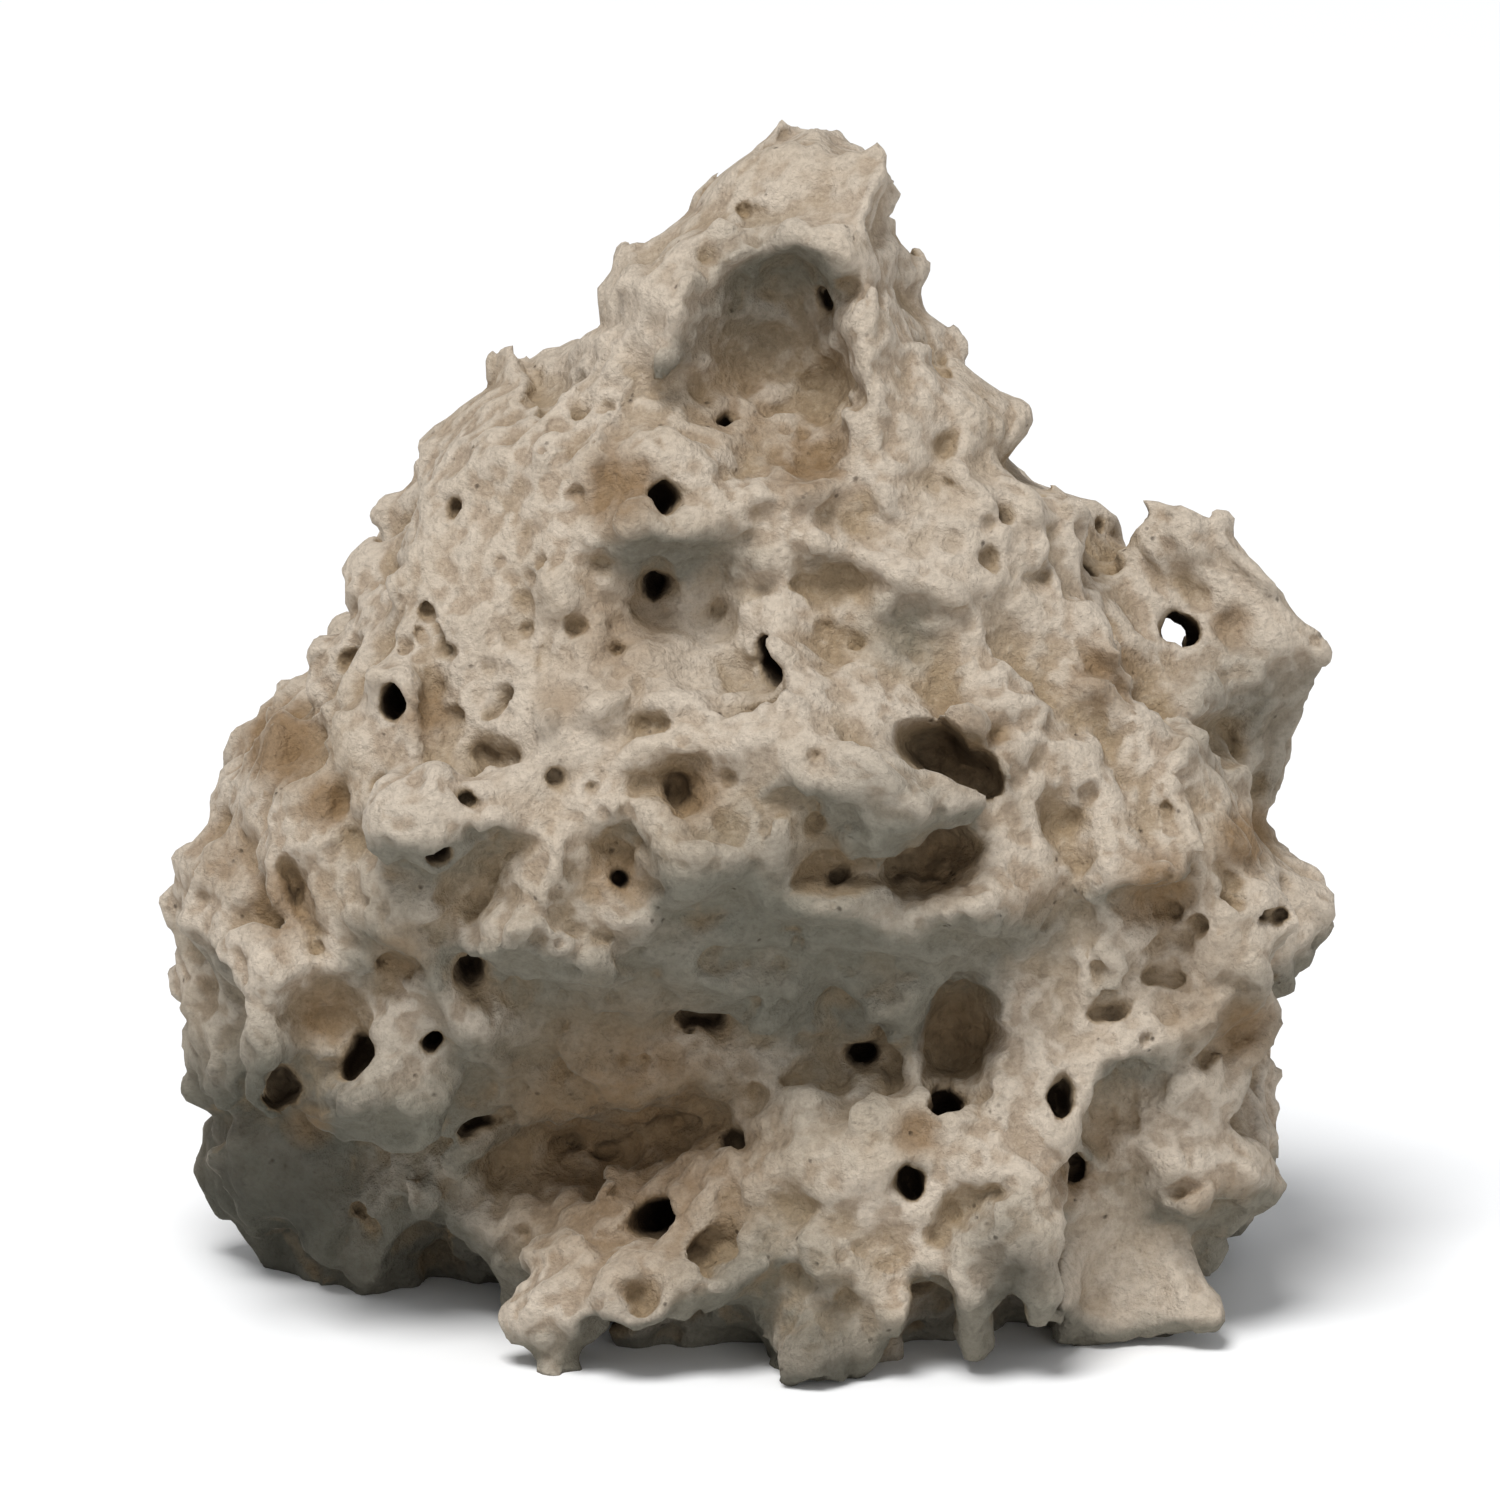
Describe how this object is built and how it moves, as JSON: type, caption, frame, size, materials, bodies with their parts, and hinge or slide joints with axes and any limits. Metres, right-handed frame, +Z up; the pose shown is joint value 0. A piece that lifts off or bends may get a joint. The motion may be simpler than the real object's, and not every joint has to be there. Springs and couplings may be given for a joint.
{
  "type": "aquarium base rock",
  "caption": "Porous limestone boulder, peaked and craggy, with an overhanging brow, worm-like holes, a holed ear and flat spots underneath to stand on.",
  "frame": {"origin": "on the ground, under the middle of the stone's box", "axes": "+Z up; -Y towards the side with the overhanging brow; +X to the right as seen from there, towards the holed ear"},
  "size_m": [0.1872, 0.1304, 0.1862],
  "materials": {
    "limestone": "rough"
  },
  "bodies": {
    "root": {"base_rock": "limestone"}
  },
  "joints": []
}
